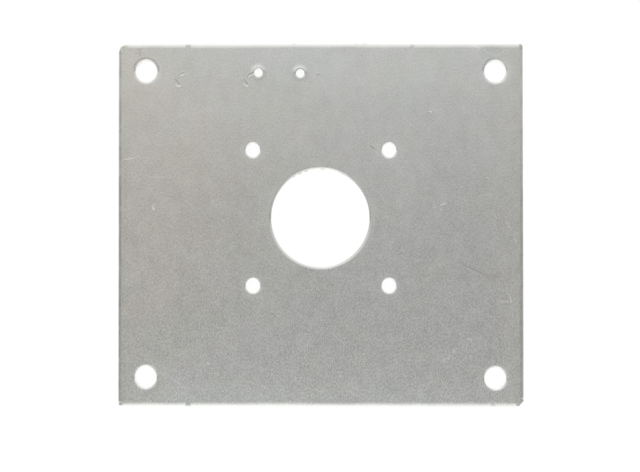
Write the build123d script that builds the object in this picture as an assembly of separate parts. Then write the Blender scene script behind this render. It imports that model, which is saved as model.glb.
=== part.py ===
from build123d import *

import math
import os

# Motor mounting bracket: one flat piece of aluminium sheet, punched out and sheared to size.
# A stepper motor is screwed to its middle, with the round pilot boss of the motor in the large bore.
# The four corner holes bolt the plate to a frame, and the two small holes hold a limit switch.
#
# Frame: millimetres. The origin is on the motor axis, in the plane of the back face. +Z points out of
# the front face, the one that the punch entered, and +Y goes to the side that has the switch holes.
#
# Every edge is a sheared one, outside and in the holes. From the front face to the back it has a
# die roll, where the punch drew the face down into a rounded rim, then a straight burnished land,
# and then a break-out, where the metal tore away at a slant.

SHEET = 3.0  # gauge of the sheet

# Frame holes: one in each corner, in a rectangle. Three sides of the plate run at one distance from
# them, and the bottom side was sheared a little wide.
FRAME_HOLE = 5.0
FRAME_PITCH_X = 80.0
FRAME_PITCH_Y = 70.0
SIDE_MARGIN = 6.4  # from the middle of a frame hole out to the side
BOTTOM_MARGIN = 6.6

# The four corners, each left in its own way by the notching punch and the file. They were cut apart
# from the sides, so the die roll of the sides stops short of them.
BOTTOM_LEFT_RADIUS = 0.35
BOTTOM_RIGHT_CUT_X = 1.1  # legs of a small slanting cut
BOTTOM_RIGHT_CUT_Y = 1.2
TOP_RIGHT_RADIUS = 0.75
TOP_LEFT_RADIUS = 1.5
CORNER_LAND = 0.4  # metal past the end of each corner's form that kept its full height

# Motor seat: the pilot bore, and four screw holes in a square around it
MOTOR_RISE = 1.5  # how far the motor axis lies above the middle of the frame holes
PILOT_BORE = 22.5
MOTOR_HOLE = 3.3
MOTOR_PITCH = 31.0

# Switch holes: a pair in a row along X, near the top side
SWITCH_HOLE = 1.95
SWITCH_PITCH = 9.5
SWITCH_X = -9.45  # middle of the pair, from the motor axis
SWITCH_DROP = 6.7  # from the top side down to the row

# The sheared edge: width of the die roll on each cut, its depth as a share of that width, and the
# height and slant of the break-out
EDGE_ROLL = 0.9
BORE_ROLL = 0.6
FRAME_HOLE_ROLL = 0.5
MOTOR_HOLE_ROLL = 0.35
SWITCH_HOLE_ROLL = 0.15
ROLL_DEPTH_SHARE = 0.4
BREAK_HEIGHT = 0.9
BREAK_SLANT_DEG = 8.0

# Bite marks: the long sides were sheared in several bites, and a small tooth stands where two met.
# A bite is measured from the corner at which its punch was set.
LEFT_BITE = 16.05  # on both long sides
TOP_RIGHT_BITE = 25.5
BOTTOM_RIGHT_BITE = 7.2
TOOTH_ROOT = 1.8  # width of a tooth where it leaves the face
TOOTH_TIP = 0.75  # width at its tip
TOOTH_PROUD = 0.05  # how far the tip stands out of the side

OVERSHOOT = 5.0  # how far a cutting form runs past the metal

LENGTH = FRAME_PITCH_X + 2 * SIDE_MARGIN
WIDTH = FRAME_PITCH_Y + SIDE_MARGIN + BOTTOM_MARGIN
BREAK_DEPTH = BREAK_HEIGHT * math.tan(math.radians(BREAK_SLANT_DEG))
HOLES_MIDDLE = Pos(0, -MOTOR_RISE, 0)
PLATE_MIDDLE = HOLES_MIDDLE * Pos(0, (SIDE_MARGIN - BOTTOM_MARGIN) / 2, 0)


def sheared_edge(cut_line, inward, roll):
    """One sheared edge in section, drawn from the front face to the back face.

    cut_line is how far out the straight land lies, inward is +1 or -1 for the side on which the
    metal is, and roll is the width of the die roll, an arc that leaves the front face in line with it.
    """
    roll_start = (cut_line + inward * roll, SHEET)
    land_top = (cut_line, SHEET - ROLL_DEPTH_SHARE * roll)
    land_foot = (cut_line, BREAK_HEIGHT)
    break_foot = (cut_line + inward * BREAK_DEPTH, 0)
    return [
        TangentArc(roll_start, land_top, tangent=(-inward, 0)),
        Line(land_top, land_foot),
        Line(land_foot, break_foot),
    ]


def sheared_bar(across, along):
    """A bar of the sheet along Y, sheared on its two long sides to the width that across gives."""
    left = sheared_edge(-across / 2, 1, EDGE_ROLL)
    right = sheared_edge(across / 2, -1, EDGE_ROLL)
    front = Line(left[0] @ 0, right[0] @ 0)
    back = Line(left[-1] @ 1, right[-1] @ 1)
    section = Plane.XZ * make_face([front, *left, back, *right])
    return extrude(section, along / 2 + OVERSHOOT, both=True)


def corner_form():
    """The outline with its four corners, as a prism that runs past both faces."""
    right, top = LENGTH / 2, WIDTH / 2
    rim = FilletPolyline(
        (-right, -top),
        (right - BOTTOM_RIGHT_CUT_X, -top),
        (right, -top + BOTTOM_RIGHT_CUT_Y),
        (right, top),
        (-right, top),
        radius=[BOTTOM_LEFT_RADIUS, 0, 0, TOP_RIGHT_RADIUS, TOP_LEFT_RADIUS],
        close=True,
    )
    return extrude(make_face(rim), SHEET + OVERSHOOT, both=True)


def corner_posts():
    """The full-height metal in the four corners of the sheet, before it gets its corner form."""
    reaches = [
        (-1, -1, BOTTOM_LEFT_RADIUS, BOTTOM_LEFT_RADIUS),
        (1, -1, BOTTOM_RIGHT_CUT_X, BOTTOM_RIGHT_CUT_Y),
        (1, 1, TOP_RIGHT_RADIUS, TOP_RIGHT_RADIUS),
        (-1, 1, TOP_LEFT_RADIUS, TOP_LEFT_RADIUS),
    ]
    posts = []
    for x_side, y_side, x_reach, y_reach in reaches:
        post = Box(2 * (x_reach + CORNER_LAND), 2 * (y_reach + CORNER_LAND), SHEET)
        posts.append(Pos(x_side * LENGTH / 2, y_side * WIDTH / 2, SHEET / 2) * post)
    return posts


def bite_tooth():
    """The tooth between two bites, full sheet thick, on a side that faces +Y and lies on Y = 0.

    Its root reaches in to where the die roll starts, so the roll is broken off at the tooth.
    """
    plan = Polyline(
        (-TOOTH_ROOT / 2, -EDGE_ROLL),
        (TOOTH_ROOT / 2, -EDGE_ROLL),
        (TOOTH_TIP / 2, TOOTH_PROUD),
        (-TOOTH_TIP / 2, TOOTH_PROUD),
        close=True,
    )
    return extrude(make_face(plan), SHEET)


def punched_hole(diameter, roll):
    """What the punch takes out: a round plug whose side is the sheared edge."""
    side = sheared_edge(diameter / 2, 1, roll)
    front = Line((0, SHEET), side[0] @ 0)
    back = Line(side[-1] @ 1, (0, 0))
    axis = Line((0, 0), (0, SHEET))
    return revolve(Plane.XZ * make_face([front, *side, back, axis]), Axis.Z)


def blank():
    """The sheet sheared on four sides, with its corners and the teeth between bites."""
    plate = sheared_bar(LENGTH, WIDTH) & Rot(0, 0, 90) * sheared_bar(WIDTH, LENGTH)
    plate = (plate + corner_posts()) & corner_form()
    for x in (LEFT_BITE - LENGTH / 2, LENGTH / 2 - TOP_RIGHT_BITE):
        plate += Pos(x, WIDTH / 2, 0) * bite_tooth()
    for x in (LEFT_BITE - LENGTH / 2, LENGTH / 2 - BOTTOM_RIGHT_BITE):
        plate += Pos(x, -WIDTH / 2, 0) * Rot(0, 0, 180) * bite_tooth()
    return plate


def mounting_plate():
    """The finished plate: the blank with its pilot bore and three patterns of holes."""
    plate = PLATE_MIDDLE * blank()
    plate -= punched_hole(PILOT_BORE, BORE_ROLL)
    switch_row = PLATE_MIDDLE * Pos(SWITCH_X, WIDTH / 2 - SWITCH_DROP, 0)
    patterns = [
        (GridLocations(MOTOR_PITCH, MOTOR_PITCH, 2, 2), MOTOR_HOLE, MOTOR_HOLE_ROLL),
        (HOLES_MIDDLE * GridLocations(FRAME_PITCH_X, FRAME_PITCH_Y, 2, 2), FRAME_HOLE, FRAME_HOLE_ROLL),
        (switch_row * GridLocations(SWITCH_PITCH, 0, 2, 1), SWITCH_HOLE, SWITCH_HOLE_ROLL),
    ]
    for places, diameter, roll in patterns:
        plate -= places * punched_hole(diameter, roll)
    return plate


def main():
    os.makedirs("parts", exist_ok=True)
    plate = mounting_plate().solid()
    size = plate.bounding_box().size
    print(f"mounting_plate: {size.X:.2f} x {size.Y:.2f} x {size.Z:.2f} mm, {plate.volume:.0f} mm3")
    export_step(plate, "parts/mounting_plate.step")


main()
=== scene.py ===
# %% [markdown]
# # Motor mounting bracket
# The real object is one flat piece of 3 mm aluminium sheet, about 93 by 83 mm. A small stepper motor is
# screwed to its middle, four corner holes bolt it to a frame, and two small holes hold a limit switch.
# Everything that catches the eye is in its edges and in its worn skin: each edge was sheared or punched,
# and the face has the rolled grain, the dings and the scratches of a part that has been used.
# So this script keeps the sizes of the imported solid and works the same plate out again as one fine,
# closed mesh, with the small forms that a solid of a few dozen faces can't carry.

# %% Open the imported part
import math

import bpy
import numpy as np
from mathutils.geometry import delaunay_2d_cdt
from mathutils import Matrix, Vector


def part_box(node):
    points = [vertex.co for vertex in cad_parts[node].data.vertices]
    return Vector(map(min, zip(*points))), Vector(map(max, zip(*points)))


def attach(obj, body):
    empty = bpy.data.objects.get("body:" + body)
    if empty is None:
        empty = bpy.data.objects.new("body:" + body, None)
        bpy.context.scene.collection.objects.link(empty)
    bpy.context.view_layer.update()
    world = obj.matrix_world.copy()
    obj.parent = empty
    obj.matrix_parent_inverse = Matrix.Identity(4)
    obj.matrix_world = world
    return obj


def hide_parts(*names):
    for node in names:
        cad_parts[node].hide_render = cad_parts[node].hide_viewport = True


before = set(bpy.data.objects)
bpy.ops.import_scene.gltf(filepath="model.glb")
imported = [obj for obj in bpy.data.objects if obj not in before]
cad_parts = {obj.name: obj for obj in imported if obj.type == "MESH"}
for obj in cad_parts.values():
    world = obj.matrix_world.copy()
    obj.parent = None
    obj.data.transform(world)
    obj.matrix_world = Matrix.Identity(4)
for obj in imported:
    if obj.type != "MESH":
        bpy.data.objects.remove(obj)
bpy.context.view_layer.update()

# %% [markdown]
# ## Sizes
# All arrays hold millimetres, because the sizes of sheet metal are spoken in them, and they become metres
# only when a mesh is made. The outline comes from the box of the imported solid. The box is a hair longer
# along Y than the sheared sides, because small teeth stand out of them.

# %% Sizes of the sheet and its holes
TOOTH_PROUD = 0.05
node_low, node_high = (1000 * np.array(corner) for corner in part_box("mounting_plate"))
LEFT, RIGHT = node_low[0], node_high[0]
BOTTOM, TOP = node_low[1] + TOOTH_PROUD, node_high[1] - TOOTH_PROUD
SHEET = node_high[2]
WIDE_BOTTOM = 0.2  # how much further the bottom side lies from its holes than the others do
MIDDLE_Y = (BOTTOM + WIDE_BOTTOM + TOP) / 2

PILOT_BORE = 22.5
MOTOR_HOLE = 3.3
MOTOR_PITCH = 31.0
FRAME_HOLE = 5.0
FRAME_PITCH_X = 80.0
FRAME_PITCH_Y = 70.0
SWITCH_HOLE = 1.95
SWITCH_PITCH = 9.5
SWITCH_X = -9.45
SWITCH_DROP = 6.7
SWITCH_Y = TOP - SWITCH_DROP

EDGE_ROLL = 0.9
BORE_ROLL = 0.6
FRAME_HOLE_ROLL = 0.5
MOTOR_HOLE_ROLL = 0.35
SWITCH_HOLE_ROLL = 0.15
ROLL_END_DEG = 2 * math.degrees(math.atan(0.4))
BREAK_HEIGHT = 0.9
BREAK_DEPTH = BREAK_HEIGHT * math.tan(math.radians(8.0))
print("sheet:", round(RIGHT - LEFT, 2), "x", round(TOP - BOTTOM, 2), "x", round(SHEET, 2), "mm")

# %% [markdown]
# ## The outline as a walk
# The rim is a straight walk along each side and a turn at each corner, and no two corners are alike: one
# is almost sharp, one is cut off at a slant, two are rounded. A polygon with a bevel would give them all
# the same form. Here the outline is a heading that grows while we walk: it stays the same along a side,
# and grows evenly along an arc. Adding up small steps in that heading gives the place of every point, and
# the heading also says at once where outwards is.


# %% Walk round the outline
def rounded_walk(points, radii):
    """Arc length and heading at each end of the lines and arcs of a closed polygon with rounded corners.

    The turn at a corner is the difference of the headings of its two sides. An arc of radius r takes up
    r tan(turn / 2) of each side, and is r times the turn long.
    """
    sides = np.roll(points, -1, axis=0) - points
    lengths = np.hypot(sides[:, 0], sides[:, 1])
    headings = np.arctan2(sides[:, 1], sides[:, 0])
    turns = (headings - np.roll(headings, 1)) % (2 * np.pi)
    taken = radii * np.tan(turns / 2)
    lines = lengths - taken - np.roll(taken, -1)
    arcs = np.roll(radii * turns, -1)
    knots = np.concatenate([[0.0], np.cumsum(np.stack([lines, arcs], 1).ravel())])
    grown = np.stack([np.zeros(len(points)), np.roll(turns, -1)], 1).ravel()
    heading = headings[0] + np.concatenate([[0.0], np.cumsum(grown)])
    start = points[0] + taken[0] * sides[0] / lengths[0]
    return knots, heading, start


CUT_X, CUT_Y = 1.1, 1.2  # the slanting cut at the lower right corner
FILED = 0.25  # radius of its two filed edges
BOTTOM_LEFT_RADIUS, TOP_RIGHT_RADIUS, TOP_LEFT_RADIUS = 0.35, 0.75, 1.5
WALK_STEPS = 170000
corner_points = np.array([
    (LEFT, BOTTOM),
    (RIGHT - CUT_X, BOTTOM),
    (RIGHT, BOTTOM + CUT_Y),
    (RIGHT, TOP),
    (LEFT, TOP),
])
corner_radii = np.array([BOTTOM_LEFT_RADIUS, FILED, FILED, TOP_RIGHT_RADIUS, TOP_LEFT_RADIUS])
walk_knots, walk_heading, walk_start = rounded_walk(corner_points, corner_radii)
ROUND = walk_knots[-1]
walk_s = np.linspace(0.0, ROUND, WALK_STEPS + 1)
walk_turn = np.interp(walk_s, walk_knots, walk_heading)
step = np.diff(walk_s)
step_turn = (walk_turn[1:] + walk_turn[:-1]) / 2
walk_x = walk_start[0] + np.concatenate([[0.0], np.cumsum(step * np.cos(step_turn))])
walk_y = walk_start[1] + np.concatenate([[0.0], np.cumsum(step * np.sin(step_turn))])
closing_gap = math.hypot(walk_x[-1] - walk_x[0], walk_y[-1] - walk_y[0])
print("walk:", round(ROUND, 2), "mm round, closes within", round(closing_gap, 6), "mm")

# %% [markdown]
# ## What happens along a sheared side
# The press drew the face down into a rounded rim, the die roll. At the corners, and where two bites of the
# shear met, the metal kept its height, so the roll fades out there and a small tooth is left. Each such
# place is a length along the walk, and the roll is its full width times a smooth step of the distance to
# the nearest of them. Slow waves keep the band from looking ruled.


# %% Places on the rim and helpers for things that fade
def smooth_step(t):
    """0 below 0 and 1 above 1, with 3 t^2 - 2 t^3 between."""
    t = np.clip(t, 0.0, 1.0)
    return t * t * (3.0 - 2.0 * t)


def nearest_on_walk(x, y):
    """Arc length of the point of the outline nearest to (x, y)."""
    return walk_s[np.argmin(np.hypot(walk_x - x, walk_y - y))]


def gap_round(s, place, total):
    """Distance along a closed path of the given length from s to a place, the short way round."""
    return np.abs((s - place + total / 2) % total - total / 2)


def slow_waves(s, total, lowest, highest, seed):
    """A smooth closed wander about 0 with a spread of about 1.

    It is a sum of cosines that fit the closed path a whole number of times, from lowest to highest, each
    with a seeded random phase and a size that falls as the wave gets shorter.
    """
    rng = np.random.default_rng(seed)
    counts = np.arange(lowest, highest + 1)
    sizes = counts ** -0.5
    phases = rng.uniform(0, 2 * np.pi, len(counts))
    waves = np.cos(2 * np.pi * np.outer(s / total, counts) + phases)
    return waves @ sizes / math.sqrt((sizes**2).sum() / 2)


# a bite is measured from the corner at which the punch was set
BITE_LEFT = 16.05
BITE_TOP_RIGHT = 25.5
BITE_BOTTOM_RIGHT = 7.2
tooth_places = np.array([
    nearest_on_walk(LEFT + BITE_LEFT, TOP),
    nearest_on_walk(RIGHT - BITE_TOP_RIGHT, TOP),
    nearest_on_walk(LEFT + BITE_LEFT, BOTTOM),
    nearest_on_walk(RIGHT - BITE_BOTTOM_RIGHT, BOTTOM),
])
arc_starts = walk_knots[1::2][[0, 2, 3, 4]]  # the slanting cut has two arcs and is one corner
arc_ends = walk_knots[2::2][[1, 2, 3, 4]]
corner_places = (arc_starts + arc_ends) / 2
corner_halves = (arc_ends - arc_starts) / 2
print("teeth at", tooth_places.round(1), "and corners at", corner_places.round(1), "mm along the rim")


# %% [markdown]
# ## Stations
# A rim needs a section every quarter of a millimetre, and almost four times as many where a corner, a tooth
# or a burr sits. A step that shrinks near those places does that: the number of stations up to s is the
# running sum of one over the step, and reading that sum backwards gives the stations.


# %% Stations along a closed path
def stations(total, coarse, fine, places, reach):
    """Arc lengths round a closed path, at steps that grow from fine, within reach of a place, to coarse.

    With g the distance to the nearest place, the step is fine + (coarse - fine) smooth_step(g / reach - 1).
    """
    s = np.linspace(0.0, total, 20001)
    gap = np.full(len(s), 1e9)
    for place in places:
        gap = np.minimum(gap, gap_round(s, place, total))
    stride = fine + (coarse - fine) * smooth_step(gap / reach - 1.0)
    count = np.concatenate([[0.0], np.cumsum(np.diff(s) * 2 / (stride[1:] + stride[:-1]))])
    whole = math.ceil(count[-1])
    return np.interp(np.arange(whole) * count[-1] / whole, count, s)


# %% [markdown]
# ## The sheared edge
# From the front face down, an edge has four parts: the die roll, which leaves the face in line with it and
# steepens; a tight bend; the straight land that the tool burnished; and the break-out, a slanting torn
# zone down to the back face. The section is the same on the outside and in every hole, so one function
# makes it. It is a profile carried along a path: rows go down the edge and columns along it.
# A burr is a thin spur at the land's top edge: its root goes on down the roll, and its tip turns level.


# %% The section carried along a path
FACE_MARGIN = 0.10  # the flat ring between the roll and the face
BACK_MARGIN = 0.08
ROLL_ROWS = 9
BEND_ROWS = 3
LAND_ROWS = 4
BREAK_ROWS = 5
BREAK_ROUGHNESS = 0.035
BURR_SPREAD = [0.4, 1.0, 1.0, 0.45]  # how much of a burr each row takes, from the roll's last row down
BURR_LIFT = [-0.2, -0.03]  # how far its first two rows rise or sink, as a share of it
BURR_MATT = 0.1  # a burr as big as this has lost all of its polish


def sheared_strip(path, outward, roll, bend, torn, burr, seed):
    """The edge as a grid of points, with how much each follows the face, its polish and its fracture.

    At slope p, the roll lies at an inset of roll (1 - sin p / sin p_end) and a depth of
    roll (1 - cos p) / sin p_end. The bend goes on from p_end to upright as an arc of its own radius.
    torn moves the line between land and break-out up and down, burr stands out of the land's top, and
    the break-out gets a seeded roughness that is smoothed along the path.
    """
    count = len(roll)
    p_end = math.radians(ROLL_END_DEG)
    slope = np.radians(np.linspace(0.0, ROLL_END_DEG, ROLL_ROWS))[:, None]
    tight = np.radians(np.linspace(ROLL_END_DEG, 90.0, BEND_ROWS + 1)[1:])[:, None]
    bend_inset = bend * (1 - math.sin(p_end))
    wide = (roll - bend_inset)[None, :]
    roll_inset = bend_inset + wide * (1 - np.sin(slope) / math.sin(p_end))
    roll_z = SHEET - wide * (1 - np.cos(slope)) / math.sin(p_end)
    bend_row_inset = bend * (1 - np.sin(tight)) + 0 * wide
    bend_z = roll_z[-1] - bend * (math.cos(p_end) - np.cos(tight))
    land_foot = BREAK_HEIGHT + torn[None, :]
    down = np.linspace(0.0, 1.0, LAND_ROWS + 1)[1:, None]
    land_z = bend_z[-1] + (land_foot - bend_z[-1]) * down
    fall = np.linspace(0.0, 1.0, BREAK_ROWS + 1)[1:, None]
    break_z = land_foot * (1 - fall)
    rough = np.random.default_rng(seed).normal(size=(BREAK_ROWS, count))
    rough = (rough + np.roll(rough, 1, axis=1) + np.roll(rough, -1, axis=1)) / 3
    break_inset = BREAK_DEPTH * fall + BREAK_ROUGHNESS * rough * np.sin(np.pi * fall)
    face_inset = roll[None, :] + FACE_MARGIN
    back_inset = BREAK_DEPTH + BACK_MARGIN + 0 * wide
    inset = np.concatenate([face_inset, roll_inset, bend_row_inset, 0 * land_z, break_inset, back_inset])
    height = np.concatenate([SHEET + 0 * wide, roll_z, bend_z, land_z, break_z, 0 * wide])
    first_burr = ROLL_ROWS - 1
    burr_share = np.zeros(len(inset))
    burr_share[first_burr : first_burr + len(BURR_SPREAD)] = BURR_SPREAD
    inset -= burr_share[:, None] * burr
    lift = np.zeros(len(inset))
    lift[first_burr : first_burr + len(BURR_LIFT)] = BURR_LIFT
    height += lift[:, None] * burr
    grid = np.empty((len(inset), count, 3))
    grid[:, :, 0] = path[:, 0] - outward[:, 0] * inset
    grid[:, :, 1] = path[:, 1] - outward[:, 1] * inset
    grid[:, :, 2] = height
    follows = np.zeros(len(inset))
    follows[: 1 + ROLL_ROWS + BEND_ROWS] = 1.0
    polish = np.zeros((len(inset), count))
    polish[1 : 1 + ROLL_ROWS] = np.sin(slope) / math.sin(p_end)
    polish[1 + ROLL_ROWS : 1 + ROLL_ROWS + BEND_ROWS + LAND_ROWS] = 1.0
    polish[ROLL_ROWS : 2 + ROLL_ROWS] *= 1 - smooth_step(burr / BURR_MATT)
    fracture = np.zeros((len(inset), count))
    fracture[-1 - BREAK_ROWS : -1] = 1.0
    return grid, follows[:, None] + 0 * polish, polish, fracture


# %% [markdown]
# ## The outer rim
# The whole outline is one strip. Each side was sheared on its own, so each ends up to a fifth of a
# millimetre out of square, and that is where the path starts: the walk, leant over a little.

# %% The path of the rim
COARSE_STEP, FINE_STEP = 0.26, 0.07
# how far each side leans over its length, and how far off true it starts
RIGHT_LEAN, RIGHT_OFF = 0.19, -0.02
LEFT_LEAN, LEFT_OFF = 0.15, -0.04
BOTTOM_LEAN, BOTTOM_OFF = 0.14, -0.17
rim_s = stations(ROUND, COARSE_STEP, FINE_STEP, [*tooth_places, *corner_places], reach=1.1)
rim_turn = np.interp(rim_s, walk_knots, walk_heading)
rim_out = np.stack([np.sin(rim_turn), -np.cos(rim_turn)], 1)
rim_path = np.stack([np.interp(rim_s, walk_s, walk_x), np.interp(rim_s, walk_s, walk_y)], 1)

across_share = (rim_path[:, 0] - LEFT) / (RIGHT - LEFT)
down_share = (TOP - rim_path[:, 1]) / (TOP - BOTTOM)
right_shift = (RIGHT_LEAN * down_share + RIGHT_OFF) * across_share
left_shift = (LEFT_LEAN * down_share + LEFT_OFF) * (1 - across_share)
rim_path[:, 0] += right_shift + left_shift
rim_path[:, 1] += (BOTTOM_LEAN * across_share + BOTTOM_OFF) * down_share
print("path of the rim:", len(rim_s), "stations")

# %% [markdown]
# ### What happens to its roll
# The roll fades at the corners and the teeth, the teeth and a few burr whiskers stand out of the rim, and
# the roll's width wanders a little, as the sheet was held a little differently in each bite. A fade could
# be modelled vertex by vertex. Here it is a share between 0 and 1 along the path, so one product of shares
# gives the width of the roll at every station. The shear also left most corners a little short.

# %% Carry the section round the outline
# corners go from bottom right over top right and top left to bottom left, the way the walk goes
# how far past the corner's form the fade starts, how long it is, how much of the roll it takes away
CORNERS_KEPT = [(0.0, 0.9, 1.0), (-0.25, 0.7, 0.85), (-0.3, 1.2, 0.65), (0.0, 0.9, 1.0)]
CORNERS_SHORT = [(-0.05, 0.14), (-0.07, 0.05), (0.18, -0.14), (0.15, 0.18)]  # their shift in x and y
TEETH_KEPT = [0.5, 0.35, 0.48, 0.25]  # share of the roll that each tooth broke off
TOOTH_HALF, TOOTH_FADE = 0.2, 0.5
TIP_HALF, TIP_FLANK = 0.37, 0.06
WHISKERS = [(-6.6, -5.7, 0.14), (7.5, 8.6, 0.10), (9.2, 10.9, 0.12)]  # from x, to x, size; on the top side
SHARP_ROLL = 0.07  # what is left of the roll where it has faded out
BOTTOM_WIDER, BOTTOM_REACH = 0.18, 1.2  # the bottom side's roll is wider
OUTER_BEND = 0.05
RIM_WANDER, RIM_TORN = 0.05, 0.10
rim_keep = np.ones(len(rim_s))
for i, (bare, fade, kept) in enumerate(CORNERS_KEPT):
    past = gap_round(rim_s, corner_places[i], ROUND) - corner_halves[i] - bare
    flat_share = 1 - smooth_step(past / fade)
    rim_keep *= 1 - kept * flat_share
    rim_path += flat_share[:, None] * CORNERS_SHORT[i]
tooth_gap = np.min([gap_round(rim_s, place, ROUND) for place in tooth_places], axis=0)
for place, kept in zip(tooth_places, TEETH_KEPT):
    rim_keep *= 1 - kept * (1 - smooth_step((gap_round(rim_s, place, ROUND) - TOOTH_HALF) / TOOTH_FADE))
rim_wander = 1 + RIM_WANDER * slow_waves(rim_s, ROUND, 4, 60, 11)
rim_wander *= 1 + BOTTOM_WIDER * smooth_step((BOTTOM + BOTTOM_REACH - rim_path[:, 1]) / BOTTOM_REACH)
rim_roll = SHARP_ROLL + (EDGE_ROLL * rim_wander - SHARP_ROLL) * rim_keep
rim_path += rim_out * (TOOTH_PROUD * (1 - smooth_step((tooth_gap - TIP_HALF) / TIP_FLANK)))[:, None]
rim_torn = RIM_TORN * slow_waves(rim_s, ROUND, 20, 400, 12)
rim_burr = np.zeros(len(rim_s))
on_top = rim_path[:, 1] > TOP - 0.5
for start, end, size in WHISKERS:
    along = (rim_path[:, 0] - start) / (end - start)
    rim_burr += on_top * size * np.sin(np.pi * np.clip(along, 0, 1)) ** 0.5
rim = sheared_strip(rim_path, rim_out, rim_roll, OUTER_BEND, rim_torn, rim_burr, 13)
print("outer rim:", rim[0].shape[0], "points at each station")

# %% [markdown]
# ## The holes
# A punched hole has the same edge, seen from the other side: the metal lies outside the circle. Walking
# clockwise keeps the metal on the left hand, as on the outer rim, so the same function fits. The pilot
# bore was nibbled at its upper edge and kept a few flecks of burr there. The holes were punched one after
# another, and each landed up to a quarter of a millimetre off its true place.


# %% Carry the section round each hole
LEAST_STEPS = 56  # stations round the smallest hole
HOLE_WANDER, HOLE_TORN = 0.06, 0.08
FLECK_FLAT = 0.2  # share of its width that keeps its full size


def punched_hole(x, y, diameter, roll, bend, seed, flecks=()):
    """The edge of a round hole: stations clockwise round a circle, with outwards towards its middle.

    A fleck is an angle in degrees, a width in millimetres along the edge and a size.
    """
    radius = diameter / 2
    total = 2 * np.pi * radius
    fleck_places = [(-math.radians(angle) * radius) % total for angle, _, _ in flecks]
    s = stations(total, min(COARSE_STEP, total / LEAST_STEPS), FINE_STEP, fleck_places, reach=0.6)
    angle = -s / radius
    outward = np.stack([-np.cos(angle), -np.sin(angle)], 1)
    path = np.array([x, y]) - radius * outward
    burr = np.zeros(len(s))
    for place, (_, width, size) in zip(fleck_places, flecks):
        burr += size * (1 - smooth_step(gap_round(s, place, total) / width - FLECK_FLAT))
    widths = roll * (1 + HOLE_WANDER * slow_waves(s, total, 1, 7, seed))
    torn = HOLE_TORN * slow_waves(s, total, 3, 40, seed + 1)
    return sheared_strip(path, outward, widths, bend, torn, burr, seed + 2)


# angle in degrees, width, size
BORE_FLECKS = [
    (122.4, 0.3, 0.17), (114.8, 0.6, 0.18), (107.0, 0.5, 0.2),
    (87.4, 0.7, 0.2), (66.8, 0.3, 0.08), (62.0, 0.3, 0.08),
]
# how far off its true place each hole landed, in x and y, from bottom left round by bottom right
MOTOR_DRIFT = [(0.1, -0.05), (0.25, 0.0), (0.25, 0.05), (0.0, 0.05)]
FRAME_DRIFT = [(0.05, 0.0), (0.05, -0.1), (0.0, 0.05), (0.0, 0.1)]
SWITCH_DRIFT = [(-0.05, 0.1), (0.05, -0.05)]
HOLE_BEND, SMALL_BEND = 0.04, 0.03
circles = [(0.0, 0.0, PILOT_BORE)]
strips = [rim, punched_hole(0.0, 0.0, PILOT_BORE, BORE_ROLL, OUTER_BEND, 21, BORE_FLECKS)]
for i, (side_x, side_y) in enumerate([(-1, -1), (1, -1), (1, 1), (-1, 1)]):
    motor_x = side_x * MOTOR_PITCH / 2 + MOTOR_DRIFT[i][0]
    motor_y = side_y * MOTOR_PITCH / 2 + MOTOR_DRIFT[i][1]
    strips.append(punched_hole(motor_x, motor_y, MOTOR_HOLE, MOTOR_HOLE_ROLL, HOLE_BEND, 31 + 3 * i))
    circles.append((motor_x, motor_y, MOTOR_HOLE))
    frame_x = side_x * FRAME_PITCH_X / 2 + FRAME_DRIFT[i][0]
    frame_y = MIDDLE_Y + side_y * FRAME_PITCH_Y / 2 + FRAME_DRIFT[i][1]
    strips.append(punched_hole(frame_x, frame_y, FRAME_HOLE, FRAME_HOLE_ROLL, HOLE_BEND, 51 + 3 * i))
    circles.append((frame_x, frame_y, FRAME_HOLE))
switch_holes = []
for side_x, (drift_x, drift_y) in zip((-1, 1), SWITCH_DRIFT):
    switch_holes.append((SWITCH_X + side_x * SWITCH_PITCH / 2 + drift_x, SWITCH_Y + drift_y))
for i, (hole_x, hole_y) in enumerate(switch_holes):
    strips.append(punched_hole(hole_x, hole_y, SWITCH_HOLE, SWITCH_HOLE_ROLL, SMALL_BEND, 71 + 3 * i))
    circles.append((hole_x, hole_y, SWITCH_HOLE))
print("edges:", len(strips), "closed strips")
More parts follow.
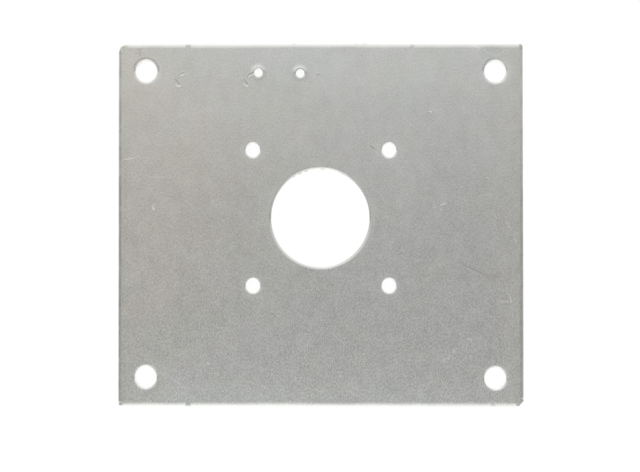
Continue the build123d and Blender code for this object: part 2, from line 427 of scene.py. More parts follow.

# %% [markdown]
# ## Marks of use
# A ding or a scratch is metal pushed aside: a narrow valley with a low ridge on each side. Each one is a
# short stroke between two points, given from the middle of the plate in millimetres, with half its width,
# its depth, how dark it is painted and how much lighter. In a ding the dark share is dirt. Some grooves get
# a pair of strokes, a dark one just above a light one: these paint the shaded upper wall and the lit lower
# wall of the groove, so there the dark share is painted shade and the light share a painted highlight.
# Elsewhere the light share is rubbed metal. The height of the face is a function of x and y, so it serves
# the face and the die rolls alike, and its tones become attributes that the finish reads.

# %% Dings, grooves and scratches
# from x, from y, to x, to y, half width, depth in thousandths, dark share (dirt, or painted shade on a
# groove's upper wall) and light share (rub, or painted highlight on its lower wall) in percent
MARKS = np.array([
    (-32.3, 34.35, -31.45, 34.75, 0.12, 50, 45, 0), (-32.2, 34.15, -31.25, 34.5, 0.12, 20, 0, 80),
    (-33.2, 33.2, -32.5, 32.2, 0.14, 40, 32, 0), (-33.25, 32.2, -32.85, 31.75, 0.13, 20, 0, 90),
    (-32.75, 31.7, -32.15, 31.75, 0.14, 30, 0, 90), (-16.5, 34.35, -15.2, 34.95, 0.12, 60, 65, 0),
    (-16.5, 34, -15.2, 34.55, 0.12, 20, 0, 65), (-17.55, 33.2, -16.8, 32.15, 0.14, 40, 32, 0),
    (-17.5, 32.3, -17.2, 31.9, 0.13, 20, 0, 90), (-17.1, 31.8, -16.7, 31.8, 0.15, 30, 0, 90),
    (-0.75, 34.35, -0.25, 34.35, 0.12, 30, 45, 0), (11.6, 17.9, 12.4, 17.3, 0.15, 12, 50, 0),
    (38.1, 10.3, 38.5, 10.1, 0.18, 30, 50, 20), (17.9, -7, 18.8, -6.5, 0.15, 12, 50, 0),
    (22.7, -1.2, 23.1, -1.3, 0.2, 8, 25, 0), (32.6, -9.1, 37.6, -11.5, 0.22, 5, 20, 0),
    (23.5, -36.3, 23.9, -36.4, 0.16, 30, 50, 20), (-38.4, 4, -38.2, 3.5, 0.23, 12, 0, 100),
    (25.1, 26, 25.3, 26, 0.2, 12, 0, 100), (24.6, 25.5, 24.9, 25.2, 0.15, 8, 12, 0),
    (25.9, 26.4, 26.3, 26.2, 0.14, 6, 0, 40), (27.6, 4.5, 28.6, 4.8, 0.12, 10, 0, 65),
    (-45, 14.9, -42.9, 15.2, 0.12, 10, 0, 50), (-42.9, 15.2, -41.8, 15.9, 0.12, 8, 0, 25),
    (-39.6, 10.9, -33.6, 10.9, 0.12, 6, 0, 22), (35.3, 40.9, 37.4, 40.1, 0.13, 8, 0, 60),
    (37.4, 40.1, 39.9, 38.8, 0.12, 8, 0, 42), (40.6, 38.9, 42, 40, 0.12, 8, 0, 22),
    (-36.1, -34.2, -30.6, -37.7, 0.36, 6, 0, 28), (-42.1, 40, -41, 40.1, 0.28, 6, 16, 0),
    (-41.5, 39.7, -41.4, 38.7, 0.26, 6, 20, 0), (-40.9, 40.1, -40.8, 39.9, 0.16, 8, 0, 40),
    (-43.8, 40, -43.6, 39.9, 0.16, 6, 15, 0), (-42.3, 39.4, -42.2, 39.2, 0.16, 6, 15, 0),
    (27.6, -31.3, 29.6, -30.1, 0.13, 6, 0, 35), (28.2, -31.2, 28.4, -31, 0.15, 8, 0, 80),
    (29.2, -30.7, 29.4, -30.7, 0.15, 8, 0, 70), (30.5, -29, 30.7, -29, 0.15, 8, 0, 70),
    (34.3, -30.1, 34.5, -30, 0.15, 8, 0, 80), (44.6, -30.7, 44.7, -30.4, 0.15, 8, 0, 60),
    (38.5, -41, 39.1, -40.7, 0.15, 6, 0, 75), (39.1, -40.7, 40, -40.7, 0.15, 6, 0, 75),
    (42.6, 0.5, 43.7, -0.9, 0.14, 8, 0, 40), (44.2, -3.2, 44.8, -3.7, 0.14, 8, 0, 45),
    (42.6, -15.2, 43.4, -16.6, 0.14, 6, 0, 65), (43.4, -16.6, 43.6, -17.7, 0.18, 8, 0, 100),
    (41.3, -17.5, 43.1, -17.6, 0.14, 6, 0, 55), (43.7, -17.4, 44.4, -16.9, 0.14, 6, 0, 35),
    (-25.7, -31.8, -25.5, -32, 0.18, 8, 0, 90), (-24.3, -31.8, -24.2, -31.8, 0.15, 8, 0, 60),
    (-23.4, -34.5, -23.3, -34.5, 0.15, 8, 0, 70), (-24.9, 5.3, -24.3, 5.3, 0.13, 6, 0, 35),
    (33.6, -26.3, 34.7, -26.3, 0.14, 8, 0, 70), (31.8, -24.9, 32.2, -24.9, 0.14, 6, 0, 40),
    (26, 4, 26.2, 4, 0.14, 6, 0, 45), (27.6, 3.5, 27.8, 3.5, 0.14, 6, 0, 50),
    (-33.2, -38.3, -33, -38.3, 0.15, 8, 0, 35), (-36.1, -32.9, -35.4, -32.9, 0.13, 6, 0, 35),
    (-21.8, -28.3, -21.6, -28.4, 0.15, 8, 30, 0), (-14.6, -28.2, -14.4, -28.2, 0.16, 10, 40, 0),
    (-7.5, -28.2, -7.3, -28.2, 0.16, 10, 40, 0),
])

# %% Patches of stain, dirt and rub
# from x, from y, to x, to y, radius; brown, dirt and rub in percent
PATCHES = np.array([
    (-43.3, 36.6, -43.2, 32.6, 1.3, 30, 0, 0), (-41.6, 38.7, -38.2, 38.4, 1, 35, 0, 0),
    (-36.9, 36.6, -36.4, 33, 1.3, 35, 0, 0), (-42, 31, -37.6, 30.6, 1.5, 45, 0, 0),
    (-37.1, -34.7, -37, -36.9, 0.7, 95, 0, 0), (-41.2, -39, -38.4, -39.2, 0.8, 25, 0, 0),
    (-45.3, -32.8, -45.3, -40.3, 0.4, 50, 0, 0), (-44.7, 16.5, -44.7, -8.5, 0.5, 80, 0, 0),
    (-45.7, 3.6, -45.4, 3.2, 0.5, 90, 0, 30), (36.4, -34.5, 36.2, -36.2, 1, 25, 0, 0),
    (37.4, -11.5, 39.9, -12.2, 0.6, 35, 6, 0), (39.9, -12.2, 41.6, -10.8, 0.5, 35, 5, 0),
    (40.6, -12, 40.6, -14, 0.3, 50, 0, 0), (43.3, -9.5, 43.3, -15, 0.4, 50, 0, 0),
    (43.2, -15.8, 43.5, -17.4, 0.8, 45, 0, 0), (42.9, -17.1, 43.3, -17.5, 0.7, 50, 0, 22),
    (44.3, -1.9, 45.1, -2.1, 0.5, 0, 0, 22), (-13.5, 33.3, -13.1, 33.2, 0.5, 35, 0, 0),
    (-40, 35, -39, 35, 4.8, 0, 0, 17), (38.2, 40.7, 41.2, 40.5, 0.9, 0, 6, 0),
    (-45.15, -25, -45.15, -41, 0.28, 0, 5, 0), (-45.6, -25, -45.6, -41, 0.25, 0, 0, 10),
    (-18.5, 12, -18.5, -1, 4.5, 0, 5, 0), (-26.5, 13, -26.5, -9, 3, 0, 3, 0),
    (2, -17.8, 2.5, -20.5, 4.5, 0, 4, 0), (34, 13, 34, 9, 3.5, 0, 4, 0),
    (34, -7.5, 34.5, -10, 3, 0, 3, 0), (34, -36, 34.5, -38.5, 2.5, 0, 3, 0),
    (18, 13, 19, 10, 3.5, 0, 0, 12), (-44, -6, -44, -11, 2, 0, 0, 14),
    (-34, -36.5, -33, -38.5, 3.5, 0, 0, 10), (44, -7, 44, -40, 1.6, 0, 0, 10),
    (44.8, -41.3, 45.4, -40.9, 0.5, 0, 0, 30), (-46, -41.65, 46, -41.55, 0.22, 0, 7, 0),
    (-46, 41.45, 46, 41.45, 0.2, 0, 5, 0),
])
MARKS[:, 5] /= 1000
MARKS[:, 6:] /= 100
PATCHES[:, 5:] /= 100
for table in (MARKS, PATCHES):
    table[:, [1, 3]] += MIDDLE_Y
print("marks:", len(MARKS), "strokes and", len(PATCHES), "patches")

# %% Arcs round the holes
bore, motor_bl, frame_bl, motor_br, frame_br, motor_tr, frame_tr, motor_tl, frame_tl = circles[:9]
switch_left, switch_right = circles[9:]
# hole x and y, diameter, middle and half angle in degrees, outside the hole, half width; shares: dark, which
# is painted shade on the rim, and light, which lightens the metal beside it
RIM_ARCS = [
    (*frame_tl, 88, 78, 0.62, 0.1, 0.44, 0), (*frame_tr, 140, 36, 0.58, 0.1, 0.28, 0),
    (*frame_br, 218, 35, 0.25, 0.14, 0.25, 0), (*motor_tl, 90, 45, 0.58, 0.12, 0.1, 0),
    (*frame_tl, -10, 60, 0.75, 0.6, 0, 0.26), (*frame_tr, 0, 60, 0.55, 0.6, 0, 0.24),
    (*frame_tr, 180, 50, 0.8, 0.5, 0, 0.12), (*frame_bl, 10, 60, 0.65, 0.6, 0, 0.2),
    (*frame_br, 0, 60, 0.7, 0.9, 0, 0.18), (*frame_br, 180, 50, 0.7, 0.5, 0, 0.12),
    (*motor_tl, 0, 220, 0.4, 0.8, 0, 0.16), (*motor_tr, 0, 220, 0.5, 1.5, 0, 0.2),
    (*motor_bl, 0, 220, 0.45, 0.9, 0, 0.2), (*motor_br, 0, 220, 0.45, 0.7, 0, 0.14),
    (*bore, 0, 55, 0.75, 0.6, 0, 0.16), (*bore, 180, 45, 0.85, 0.5, 0, 0.1),
    (*bore, 10, 40, 0.18, 0.16, 0.12, 0), (*bore, 168, 34, 0.18, 0.16, 0.14, 0),
    (*switch_left, 75, 50, 0.14, 0.1, 0.4, 0), (*switch_left, 270, 60, 0.02, 0.12, 0.12, 0),
    (*switch_right, 92, 54, 0.14, 0.11, 0.8, 0),
]
ARC_FADE_DEG = 25
print("arcs:", len(RIM_ARCS), "round the holes")


# %% The lip round the small holes
def stroke_distance(x, y, mark):
    """Distance from points to a stroke: project on it, hold the share between 0 and 1, and measure."""
    ax, ay, bx, by = mark[:4]
    length_sq = (bx - ax) ** 2 + (by - ay) ** 2
    share = np.clip(((x - ax) * (bx - ax) + (y - ay) * (by - ay)) / length_sq, 0.0, 1.0)
    return np.hypot(x - ax - share * (bx - ax), y - ay - share * (by - ay))


LIP_HEIGHT = 0.075
LIP_LOW_SIDE = 0.2  # share of the height on the lower side
LIP_CREST = 0.22  # how far outside the hole the lip is highest
LIP_INNER, LIP_OUTER = 0.15, 0.5  # how fast it dies away towards the hole, and outwards
# the painted highlight on the upper slope of the lips: its strength, how far outside the crest, its half
# width
LIP_HIGHLIGHT, HIGHLIGHT_OUTSIDE, HIGHLIGHT_WIDTH = 0.62, 0.17, 0.33


def switch_lip(x, y):
    """Height and painted highlight of the lip round the two small holes, where a dull punch pulled the sheet
    up.

    The lip is highest just outside the hole and on the upper side, and dies away outwards as a bell curve
    of its radius. Its upper slope, which faces the light, gets a painted highlight.
    """
    height = np.zeros_like(x)
    rub_and_highlight = np.zeros_like(x)
    for hole_x, hole_y in switch_holes:
        r = np.hypot(x - hole_x, y - hole_y)
        crest = SWITCH_HOLE / 2 + LIP_CREST
        upper = smooth_step(1.1 * (y - hole_y) / np.maximum(r, 0.1) + 0.25)
        width = np.where(r > crest, LIP_OUTER, LIP_INNER)
        lift = LIP_HEIGHT * (LIP_LOW_SIDE + (1 - LIP_LOW_SIDE) * upper)
        height += lift * np.exp(-(((r - crest) / width) ** 2))
        rub_and_highlight += LIP_HIGHLIGHT * upper * np.exp(-(((r - crest - HIGHLIGHT_OUTSIDE) / HIGHLIGHT_WIDTH) ** 2))
    return height, rub_and_highlight


# %% Tones along the rims
# painted shade along the left and the right roll, which reflect the darker ends of the tent
SIDE_SHADE, SHADE_INSIDE, SHADE_HALF = 0.28, 0.42, 0.25  # strength, distance from the side, half width
TOP_CLEAN, TOP_FADE = 1.5, 3.0  # how far from the corner it starts, and over what length
BOTTOM_CLEAN, BOTTOM_FADE = 0.6, 1.5
RIGHT_LEAST, RIGHT_MORE = 0.65, 0.15  # its share high on the right side, and what is added below
side_patches = np.random.default_rng(91).uniform(0.2, 1.3, 80)


def rim_tones(x, y):
    """Painted shade and a lighter tone in arcs just outside some holes, and painted shade along the left and
    the right side.

    An arc is a bell curve of the radius, faded at its ends. The painted shade along a side is a bell curve
    of the distance from it, patchy from end to end, and fades out at the corners. The right side has less of
    it, above all higher up.
    """
    side = np.minimum(x - LEFT, RIGHT - x)
    patchy = np.interp(y, np.linspace(BOTTOM, TOP, len(side_patches)), side_patches)
    left_share = smooth_step((TOP - y - TOP_CLEAN) / TOP_FADE)
    right_share = RIGHT_LEAST + RIGHT_MORE * smooth_step((12.0 - y) / 24.0)
    patchy = patchy * np.where(x < 0, left_share, right_share)
    patchy = patchy * smooth_step((y - BOTTOM - BOTTOM_CLEAN) / BOTTOM_FADE)
    dirt_and_shade = SIDE_SHADE * patchy * np.exp(-(((side - SHADE_INSIDE) / SHADE_HALF) ** 2))
    rub_and_highlight = np.zeros_like(x)
    for hole_x, hole_y, diameter, middle, half, outside, half_width, dark, bright in RIM_ARCS:
        r = np.hypot(x - hole_x, y - hole_y)
        angle = np.degrees(np.arctan2(y - hole_y, x - hole_x))
        fade = smooth_step((half - gap_round(angle, middle, 360.0)) / ARC_FADE_DEG + 0.5)
        bell = fade * np.exp(-(((r - diameter / 2 - outside) / half_width) ** 2))
        dirt_and_shade = np.maximum(dirt_and_shade, dark * bell)
        rub_and_highlight = np.maximum(rub_and_highlight, bright * bell)
    return dirt_and_shade, rub_and_highlight


# %% Relief of the face
RIDGE_SHARE, RIDGE_PLACE, RIDGE_SPREAD = 0.35, 1.9, 0.5


def face_relief(x, y):
    """Height of the worn face over the flat sheet, with its dirt and painted shade, its rub and painted
    highlights, and its stain.

    At d half widths from a stroke, the height is depth times the ridge's bell curve, which has its top at
    RIDGE_PLACE, less the valley exp(-d^2). Of the tones that meet in a place, the strongest holds.
    """
    height, lip_highlight = switch_lip(x, y)
    dirt_and_shade, rub_and_highlight = rim_tones(x, y)
    rub_and_highlight = np.maximum(rub_and_highlight, lip_highlight)
    stain = np.zeros_like(x)
    for mark in MARKS:
        half_width, depth, dark, bright = mark[4:]
        d = stroke_distance(x, y, mark) / half_width
        valley = np.exp(-(d**2))
        ridge = np.exp(-((d - RIDGE_PLACE) ** 2) / RIDGE_SPREAD)
        height += depth * (RIDGE_SHARE * ridge - valley)
        dirt_and_shade = np.maximum(dirt_and_shade, dark * valley)
        rub_and_highlight = np.maximum(rub_and_highlight, bright * valley)
    for patch in PATCHES:
        brown, dark, bright = np.outer(patch[5:], np.exp(-((stroke_distance(x, y, patch) / patch[4]) ** 2)))
        stain = np.maximum(stain, brown)
        dirt_and_shade = np.maximum(dirt_and_shade, dark)
        rub_and_highlight = np.maximum(rub_and_highlight, bright)
    return height, dirt_and_shade, rub_and_highlight, stain


# %% [markdown]
# ## The face
# A flat face needs few points, and a groove a tenth of a millimetre wide needs many. So the face isn't one
# even grid: a coarse grid of points covers it, fine patches of points cover the marks, the small holes'
# lips and the rings of two corner holes, and a Delaunay triangulation joins them with the first row of
# every edge strip. The height of each point is the relief at its place.


# %% Points of the face
WIDEST_ROLL = 1.45  # the widest that the outer roll gets, as a share of EDGE_ROLL


def inside_metal(x, y, margin):
    """True where a point of the face lies at least margin inside the flat, clear of every edge strip."""
    reach_x = np.minimum(x - LEFT, RIGHT - x)
    reach_y = np.minimum(y - BOTTOM, TOP - y)
    clear = np.minimum(reach_x, reach_y) > WIDEST_ROLL * EDGE_ROLL + FACE_MARGIN + margin
    for (hole_x, hole_y, _), strip in zip(circles, strips[1:]):
        ring = strip[0][0, :, :2]
        reach = np.hypot(ring[:, 0] - hole_x, ring[:, 1] - hole_y).max()
        clear &= np.hypot(x - hole_x, y - hole_y) > reach + margin
    return clear


def grid_points(low_x, low_y, high_x, high_y, spacing):
    """An even grid of points over a rectangle, every other row shifted by half a step."""
    rows = np.arange(low_y, high_y, spacing * 0.866)
    columns = np.arange(low_x, high_x, spacing)
    x = columns[None, :] + (spacing / 2) * (np.arange(len(rows)) % 2)[:, None]
    y = rows[:, None] + 0 * x
    return np.stack([x.ravel(), y.ravel()], 1)


COARSE = 0.8
FINE = 0.085
# in half widths of a mark: what its fine points cover, what the coarse ones keep off, and its step
MARK_REACH, MARK_CLEAR, MARK_STEP = 4.2, 4.5, 0.55
PATCH_GAP = 0.1
RIM_GAP = 0.06
points = grid_points(LEFT, BOTTOM, RIGHT, TOP, COARSE)
near_mark = np.full(len(points), 1e9)
for mark in MARKS:
    near_mark = np.minimum(near_mark, stroke_distance(*points.T, mark) / mark[4])
# middle x, middle y, reach and spacing of the patches round holes with fine detail
ROUND_PATCHES = [(*hole[:2], 3.5, 0.17) for hole in (switch_left, switch_right)]
ROUND_PATCHES += [(*hole[:2], 3.8, 0.14) for hole in (frame_tl, frame_tr)]
clear = near_mark > MARK_CLEAR
for hole_x, hole_y, reach, _ in ROUND_PATCHES:
    clear &= np.hypot(points[:, 0] - hole_x, points[:, 1] - hole_y) > reach + PATCH_GAP
points = points[clear]

patches = [points]
taken = []
for mark in MARKS:
    reach = MARK_REACH * mark[4]
    low_x, high_x = sorted(mark[[0, 2]])
    low_y, high_y = sorted(mark[[1, 3]])
    spacing = max(FINE, MARK_STEP * mark[4])
    patch = grid_points(low_x - reach, low_y - reach, high_x + reach, high_y + reach, spacing)
    keep = stroke_distance(*patch.T, mark) < reach
    for other in taken:
        keep &= stroke_distance(*patch.T, other) > MARK_REACH * other[4] + spacing
    patches.append(patch[keep])
    taken.append(mark)
for hole_x, hole_y, reach, spacing in ROUND_PATCHES:
    patch = grid_points(hole_x - reach, hole_y - reach, hole_x + reach, hole_y + reach, spacing)
    keep = np.hypot(patch[:, 0] - hole_x, patch[:, 1] - hole_y) < reach
    for other in taken:
        keep &= stroke_distance(*patch.T, other) > MARK_REACH * other[4] + PATCH_GAP
    patches.append(patch[keep])
points = np.concatenate(patches)
points = points[inside_metal(*points.T, RIM_GAP)]
print("face:", len(points), "free points")


# %% [markdown]
# ## One closed skin
# The face and the back are nets between the same closed loops: the first and the last row of every strip.
# Face, edges and back share their vertices, and a count of how often each edge is used shows that nothing
# is left open.


# %% Nets between the loops
SAME_PLACE = 1e-9
MOST_MOVED = 1e-4


def net(loops, free):
    """Triangles, counter-clockwise, between closed loops of points and the free points among them.

    Each loop is a forced line of the triangulation and keeps the metal on its left hand. The net fills its
    whole hull. A triangle off the metal has all its corners on one loop, and takes them against the way
    the loop runs, so it is known by the order of its corners and dropped.
    """
    loop_points = np.concatenate(loops)
    everything = np.concatenate([loop_points, free])
    edges = []
    offset = 0
    for loop in loops:
        index = np.arange(len(loop))
        edges.append(np.stack([index, np.roll(index, -1)], 1) + offset)
        offset += len(loop)
    made = delaunay_2d_cdt(everything.tolist(), np.concatenate(edges).tolist(), [], 0, SAME_PLACE, False)
    placed = np.array([tuple(v) for v in made[0]])
    if len(placed) != len(everything) or np.abs(placed - everything).max() > MOST_MOVED:
        raise ValueError("the triangulation merged or moved points of the net")
    triangles = np.array(made[2])
    keep = np.ones(len(triangles), bool)
    offset = 0
    for loop in loops:
        place = triangles - offset
        on_loop = ((place >= 0) & (place < len(loop))).all(axis=1)
        second = (place[:, 1] - place[:, 0]) % len(loop)
        third = (place[:, 2] - place[:, 0]) % len(loop)
        keep &= ~(on_loop & (second > third))
        offset += len(loop)
    return triangles[keep]


front_net = net([strip[0][0, :, :2] for strip in strips], points)
back_net = net([strip[0][-1, :, :2] for strip in strips], np.zeros((0, 2)))
print("nets:", len(front_net), "triangles in front and", len(back_net), "at the back")

# %% Join strips and nets
vertex_parts = []
tone_parts = []
quad_parts = []
front_index = []
back_index = []
offset = 0
for grid, follows, polish, fracture in strips:
    rows, count = grid.shape[:2]
    flat = grid.reshape(-1, 3).copy()
    relief, *worn_and_painted = face_relief(flat[:, 0], flat[:, 1])
    follow = follows.ravel()
    flat[:, 2] += relief * follow
    vertex_parts.append(flat)
    tone_parts.append(np.stack([polish.ravel(), fracture.ravel(), *(tone * follow for tone in worn_and_painted)], 1))
    index = offset + np.arange(rows * count).reshape(rows, count)
    beside = np.roll(index, -1, axis=1)
    quads = np.stack([index[:-1], index[1:], beside[1:], beside[:-1]], -1).reshape(-1, 4)
    quad_parts.append(quads)
    front_index.append(index[0])
    back_index.append(index[-1])
    offset += rows * count
relief, *worn_and_painted = face_relief(*points.T)
vertex_parts.append(np.column_stack([points, SHEET + relief]))
tone_parts.append(np.stack([0 * relief, 0 * relief, *worn_and_painted], 1))
front_index.append(offset + np.arange(len(points)))

vertices = np.concatenate(vertex_parts)
tones = np.concatenate(tone_parts)
quads = np.concatenate(quad_parts)
front = np.concatenate(front_index)[front_net]
back = np.concatenate(back_index)[back_net][:, ::-1]


def open_edges(quads, triangles):
    """How many edges aren't used exactly once in each direction: none, on a closed skin."""
    pairs = [quads[:, [i, (i + 1) % 4]] for i in range(4)]
    pairs += [triangles[:, [i, (i + 1) % 3]] for i in range(3)]
    pairs = np.concatenate(pairs).astype(np.int64)
    size = pairs.max() + 1
    forward = np.sort(pairs[:, 0] * size + pairs[:, 1])
    backward = np.sort(pairs[:, 1] * size + pairs[:, 0])
    return int((forward != backward).sum()) + int((np.diff(forward) == 0).sum())


print("vertices:", len(vertices), "open edges:", open_edges(quads, np.concatenate([front, back])))


# %% [markdown]
# ## Into Blender
# The arrays go into the mesh in one call each: corners first, then the faces as runs of corners. The
# five tones become point attributes, which the finish reads by name. Edges sharper than 35 degrees are
# marked, so the shading is smooth over the rolls and crisp at the back.


# %% Make the plate
SHARP_DEG = 35


def skin_object(name, vertices_mm, quads, triangles):
    """A mesh object from whole arrays, in metres."""
    mesh = bpy.data.meshes.new(name)
    corners = np.concatenate([quads.ravel(), triangles.ravel()]).astype(np.int32)
    totals = np.concatenate([np.full(len(quads), 4), np.full(len(triangles), 3)])
    starts = np.concatenate([[0], np.cumsum(totals)[:-1]])
    mesh.vertices.add(len(vertices_mm))
    mesh.vertices.foreach_set("co", (vertices_mm / 1000).astype(np.float32).ravel())
    mesh.loops.add(len(corners))
    mesh.loops.foreach_set("vertex_index", corners)
    mesh.polygons.add(len(totals))
    mesh.polygons.foreach_set("loop_start", starts.astype(np.int32))
    mesh.update(calc_edges=True)
    mesh.polygons.foreach_set("use_smooth", np.ones(len(totals), bool))
    mesh.set_sharp_from_angle(angle=math.radians(SHARP_DEG))
    made = bpy.data.objects.new(name, mesh)
    bpy.context.scene.collection.objects.link(made)
    return made


plate = skin_object("sheared_plate", vertices, quads, np.concatenate([front, back]))
for column, tone_name in enumerate(["polish", "fracture", "dirt_and_shade", "rub_and_highlight", "stain"]):
    layer = plate.data.attributes.new(tone_name, "FLOAT", "POINT")
    layer.data.foreach_set("value", tones[:, column].astype(np.float32))
plate.data.validate(verbose=True)
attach(plate, "root")
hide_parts("mounting_plate")
print("plate:", len(plate.data.polygons), "faces,", 2 * len(quads) + len(front) + len(back), "triangles")


# %% [markdown]
# ## The finish
# Mill aluminium is bare metal, so its look is mostly a soft reflection. The rolled grain is a fine relief
# of short streaks along Y that breaks this reflection up. The rims are smoother, because the tool rubbed
# them; the break-out is rough; and dirt darkens the bottom of the dings. Painted shade darkens the upper
# walls of some grooves, arcs on the hole rims and the left and right rolls, and painted highlights lighten
# the lower walls of those grooves and the upper slope of the small holes' lips. The face is also painted
# lighter in a band along its top and its bottom, as painted light.


# %% Small helpers for node trees
def add_node(tree, kind, **sockets):
    """A node with values set on its own sockets, by name."""
    node = tree.nodes.new(kind)
    for socket, value in sockets.items():
        node.inputs[socket.replace("_", " ")].default_value = value
    return node


def maths(tree, operation, *values):
    """The operation on two or three values; each is a socket or a number."""
    node = tree.nodes.new("ShaderNodeMath")
    node.operation = operation
    for slot, value in zip(node.inputs, values):
        if isinstance(value, (int, float)):
            slot.default_value = value
        else:
            tree.links.new(value, slot)
    return node.outputs[0]


def map_range(tree, value, source, target=(0.0, 1.0)):
    """Target ends reached with a smooth step as value goes between the source ends."""
    node = tree.nodes.new("ShaderNodeMapRange")
    node.interpolation_type = "SMOOTHSTEP"
    for name, number in zip(("From Min", "From Max", "To Min", "To Max"), (*source, *target)):
        node.inputs[name].default_value = number
    tree.links.new(value, node.inputs["Value"])
    return node.outputs[0]


def attribute(tree, name):
    """The value of a point attribute of the plate."""
    node = tree.nodes.new("ShaderNodeAttribute")
    node.attribute_name = name
    return node.outputs["Fac"]


def blend_colours(tree, share, first, second, kind="MIX"):
    """first mixed with second by share; colours are sockets or RGB triples."""
    node = tree.nodes.new("ShaderNodeMix")
    node.data_type = "RGBA"
    node.blend_type = kind
    for slot, value in ((node.inputs[0], share), (node.inputs[6], first), (node.inputs[7], second)):
        if isinstance(value, (int, float)):
            slot.default_value = value
        elif isinstance(value, tuple):
            slot.default_value = (*value, 1.0)
        else:
            tree.links.new(value, slot)
    return node.outputs[2]


def stretched_noise(tree, coordinates, scale, detail, roughness):
    """Noise whose cells are 1 / scale metres across, with its own size along X, Y and Z."""
    mapping = tree.nodes.new("ShaderNodeMapping")
    mapping.inputs["Scale"].default_value = scale
    tree.links.new(coordinates, mapping.inputs["Vector"])
    noise = add_node(tree, "ShaderNodeTexNoise", Scale=1.0, Detail=detail, Roughness=roughness)
    tree.links.new(mapping.outputs[0], noise.inputs["Vector"])
    return noise.outputs["Fac"]


# %% Mill-finish aluminium
metal = bpy.data.materials.new("mill_aluminium")
metal.use_nodes = True
tree = metal.node_tree
tree.nodes.clear()
output = tree.nodes.new("ShaderNodeOutputMaterial")
shader = add_node(tree, "ShaderNodeBsdfPrincipled", Metallic=1.0)
tree.links.new(shader.outputs[0], output.inputs["Surface"])
place = tree.nodes.new("ShaderNodeTexCoord").outputs["Object"]

grain = stretched_noise(tree, place, (4400.0, 2200.0, 4400.0), 2.0, 0.6)
mottle = stretched_noise(tree, place, (420.0, 300.0, 420.0), 3.0, 0.55)
polish = attribute(tree, "polish")
fracture = attribute(tree, "fracture")

ALUMINIUM = (0.599, 0.602, 0.587)
OLIVE = (0.602, 0.602, 0.572)
WARM = (0.622, 0.602, 0.560)
GREENISH_PAINTED_LIGHT = (0.627, 0.637, 0.619)
STRAW = (0.597, 0.602, 0.545)
BROWN_STAIN = (0.60, 0.555, 0.51)
BURNISHED = (0.88, 0.88, 0.86)
DIRT_AND_SHADE_COLOUR = (0.10, 0.09, 0.07)
RUB_AND_HIGHLIGHT_COLOUR = (0.85, 0.85, 0.83)
TORN = (0.40, 0.39, 0.38)
BOWL_MIDDLE, BOWL_BEND = 0.0055, 22.0  # in metres, and in one over metres
across = tree.nodes.new("ShaderNodeSeparateXYZ")
tree.links.new(place, across.inputs[0])
plate_x, plate_y = across.outputs["X"], across.outputs["Y"]
from_middle = maths(tree, "SUBTRACT", plate_y, BOWL_MIDDLE)
squared = maths(tree, "MULTIPLY", from_middle, from_middle)
curved = maths(tree, "MULTIPLY_ADD", squared, BOWL_BEND, plate_x)  # X, bent like a bowl along Y
handled = map_range(tree, curved, (-0.006, -0.031))
handled_wide = map_range(tree, curved, (0.020, -0.008))
right_end = map_range(tree, plate_x, (0.036, 0.047), (0.0, 0.5))
# painted light: the face is painted lighter and a little greener in a band along its top and one along its
# bottom
upper_painted_light = map_range(tree, plate_y, (0.021, 0.037))
lower_painted_light = map_range(tree, plate_y, (-0.0345, -0.0415))
colour = blend_colours(tree, maths(tree, "ADD", upper_painted_light, lower_painted_light), ALUMINIUM, GREENISH_PAINTED_LIGHT)
colour = blend_colours(tree, maths(tree, "MULTIPLY", handled_wide, 0.9), colour, OLIVE)
colour = blend_colours(tree, maths(tree, "MAXIMUM", handled, right_end), colour, WARM)
left_rim = map_range(tree, plate_x, (-0.0441, -0.0453))
right_rim = map_range(tree, plate_x, (0.0432, 0.0446), (0.0, 0.55))
colour = blend_colours(tree, maths(tree, "MAXIMUM", left_rim, right_rim), colour, STRAW)
colour = blend_colours(tree, attribute(tree, "stain"), colour, BROWN_STAIN)

# %% Grain, mottle and clouds in the tone
GRAIN_TONE = 0.85
MOTTLE_TONE = 0.15
CLOUD_TONE = 0.10
clouds = stretched_noise(tree, place, (170.0, 150.0, 170.0), 2.0, 0.5)
strength = map_range(tree, plate_y, (0.036, -0.040), (0.50, 1.48))  # more grain lower down
grain_part = maths(tree, "MULTIPLY", maths(tree, "SUBTRACT", grain, 0.5), strength)
tone = maths(tree, "MULTIPLY_ADD", grain_part, GRAIN_TONE, 1.0)
tone = maths(tree, "MULTIPLY_ADD", maths(tree, "SUBTRACT", mottle, 0.5), MOTTLE_TONE, tone)
tone = maths(tree, "MULTIPLY_ADD", maths(tree, "SUBTRACT", clouds, 0.5), CLOUD_TONE, tone)
colour = blend_colours(tree, 1.0, colour, tone, "MULTIPLY")

# %% A faint oxide tint that changes from place to place
offset_place = tree.nodes.new("ShaderNodeMapping")
offset_place.inputs["Location"].default_value = (0.4, 0.2, 0.0)
tree.links.new(place, offset_place.inputs["Vector"])
ROSE_TINT = ((190.0, 160.0, 190.0), (0.995, 1.005, 0.997), (1.009, 0.997, 1.003))
STRAW_TINT = ((160.0, 210.0, 160.0), (1.0, 1.0, 1.012), (1.0, 1.0, 0.988))
for scale, first, second in (ROSE_TINT, STRAW_TINT):
    cloud = stretched_noise(tree, offset_place.outputs[0], scale, 2.0, 0.5)
    tint = blend_colours(tree, map_range(tree, cloud, (0.35, 0.65)), first, second)
    colour = blend_colours(tree, 1.0, colour, tint, "MULTIPLY")

# %% Burnish, dirt and painted shade, rub and painted highlights, and break-out
colour = blend_colours(tree, maths(tree, "POWER", polish, 1.5), colour, BURNISHED)
# dirt in the dings, and painted shade on groove walls, hole rims and the left and right rolls
colour = blend_colours(tree, attribute(tree, "dirt_and_shade"), colour, DIRT_AND_SHADE_COLOUR)
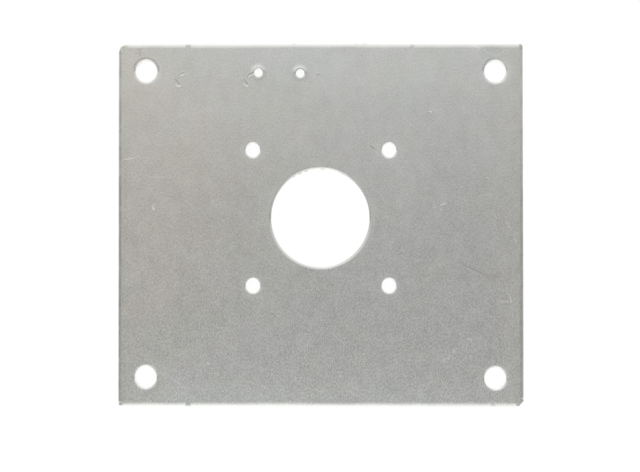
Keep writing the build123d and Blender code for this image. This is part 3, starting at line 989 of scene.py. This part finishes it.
# rubbed metal, and painted highlights on groove walls and on the small holes' lips
colour = blend_colours(tree, attribute(tree, "rub_and_highlight"), colour, RUB_AND_HIGHLIGHT_COLOUR)
colour = blend_colours(tree, maths(tree, "MULTIPLY", fracture, 0.6), colour, TORN)
tree.links.new(colour, shader.inputs["Base Color"])

roughness = maths(tree, "MULTIPLY_ADD", mottle, 0.06, 0.16)
roughness = maths(tree, "SUBTRACT", roughness, maths(tree, "MULTIPLY", polish, 0.08))
roughness = maths(tree, "ADD", roughness, maths(tree, "MULTIPLY", fracture, 0.3))
tree.links.new(roughness, shader.inputs["Roughness"])

bump = add_node(tree, "ShaderNodeBump", Strength=1.0, Distance=0.000012)
tree.links.new(grain, bump.inputs["Height"])
tree.links.new(bump.outputs[0], shader.inputs["Normal"])
plate.data.materials.append(metal)
print("finish:", len(tree.nodes), "nodes")

# %% [markdown]
# ## Floor, light and camera
# The plate lies on a white table that glows, in a tent with a bright bank along each long side and a dark
# gap overhead; its ends are darker. A bank can be an area light, but the tent is one smooth thing, so it
# is a world whose brightness depends on how far a direction leans along Y and along X. The camera looks
# down from 45 cm, about one degree off the plate's normal each way, as a hand-held one does.

# %% Floor
FLOOR_HALF = 0.6
FLOOR_Z = -0.00002  # in metres; a hair below the plate's back
TABLE_GREY, TABLE_GLOW = 0.16, 0.92
floor_mesh = bpy.data.meshes.new("table")
floor_corners = [(FLOOR_HALF * x, FLOOR_HALF * y, FLOOR_Z) for x, y in ((-1, -1), (1, -1), (1, 1), (-1, 1))]
floor_mesh.from_pydata(floor_corners, [], [(0, 1, 2, 3)])
floor = bpy.data.objects.new("table", floor_mesh)
bpy.context.scene.collection.objects.link(floor)
white = bpy.data.materials.new("table_white")
white.use_nodes = True
white_shader = white.node_tree.nodes["Principled BSDF"]
white_shader.inputs["Base Color"].default_value = (TABLE_GREY, TABLE_GREY, TABLE_GREY, 1.0)
white_shader.inputs["Roughness"].default_value = 0.9
white_shader.inputs["Emission Color"].default_value = (1.0, 1.0, 1.0, 1.0)
white_shader.inputs["Emission Strength"].default_value = TABLE_GLOW
floor_mesh.materials.append(white)

# %% The light tent
world = bpy.data.worlds.new("tent")
world.use_nodes = True
bpy.context.scene.world = world
sky = world.node_tree
sky.nodes.clear()
sky_output = sky.nodes.new("ShaderNodeOutputWorld")
background = add_node(sky, "ShaderNodeBackground", Strength=4.0)
sky.links.new(background.outputs[0], sky_output.inputs["Surface"])
direction = sky.nodes.new("ShaderNodeTexCoord").outputs["Generated"]
lean = sky.nodes.new("ShaderNodeSeparateXYZ")
sky.links.new(direction, lean.inputs[0])


def brightness_ramp(tree, component, stops):
    """Brightness by how far a direction leans along one axis; stops are degrees from overhead and values."""
    share = maths(tree, "MULTIPLY_ADD", component, 0.5, 0.5)
    ramp = tree.nodes.new("ShaderNodeValToRGB")
    ramp.color_ramp.interpolation = "LINEAR"
    tree.links.new(share, ramp.inputs["Fac"])
    while len(ramp.color_ramp.elements) < len(stops):
        ramp.color_ramp.elements.new(0.5)
    for element, (degrees, brightness) in zip(ramp.color_ramp.elements, stops):
        element.position = 0.5 + 0.5 * math.sin(math.radians(degrees))
        element.color = (brightness / 2, brightness / 2, brightness / 2, 1.0)
    return ramp.outputs["Color"]


# degrees from overhead and brightness
ALONG_Y = [
    (-76, 1.20), (-53, 1.07), (-32, 0.89), (-12, 0.74), (-6, 0.74), (-2, 0.52),
    (1, 0.54), (5, 0.80), (9, 0.92), (28, 1.01), (50, 1.03), (73, 1.10),
]
ALONG_X = [
    (-80, 0.95), (-55, 0.80), (-30, 0.87), (-12, 1.05), (-6, 1.06), (0, 1.00),
    (5, 0.95), (12, 0.93), (30, 0.88), (55, 0.80), (80, 0.95),
]
along_y = brightness_ramp(sky, lean.outputs["Y"], ALONG_Y)
along_x = brightness_ramp(sky, lean.outputs["X"], ALONG_X)
sky.links.new(blend_colours(sky, 1.0, along_y, along_x, "MULTIPLY"), background.inputs["Color"])
print("tent:", len(sky.nodes), "nodes")

# %% Camera
SENSOR = 36.0
CAMERA_HEIGHT = 450.0  # above the front face
VIEW_WIDTH = 146.5  # what the frame shows across, on the front face
LEAN_TO_Y, LEAN_TO_X, TURN = 0.88, 1.06, 0.09  # degrees: up the plate, to its left, and round
AIM_X, AIM_Y = -0.04, -4.15
camera_data = bpy.data.cameras.new("camera")
camera_data.sensor_width = SENSOR
camera_data.lens = SENSOR * CAMERA_HEIGHT / VIEW_WIDTH
camera_data.clip_start = 0.01
camera_data.clip_end = 10.0
camera = bpy.data.objects.new("camera", camera_data)
camera.rotation_euler = [math.radians(degrees) for degrees in (LEAN_TO_Y, LEAN_TO_X, TURN)]
camera.location = (
    (AIM_X + CAMERA_HEIGHT * math.tan(math.radians(LEAN_TO_X))) / 1000,
    (AIM_Y - CAMERA_HEIGHT * math.tan(math.radians(LEAN_TO_Y))) / 1000,
    (SHEET + CAMERA_HEIGHT) / 1000,
)
bpy.context.scene.collection.objects.link(camera)
bpy.context.scene.camera = camera
bpy.context.scene.view_settings.view_transform = "Standard"
print("lens:", round(camera_data.lens, 1), "mm")
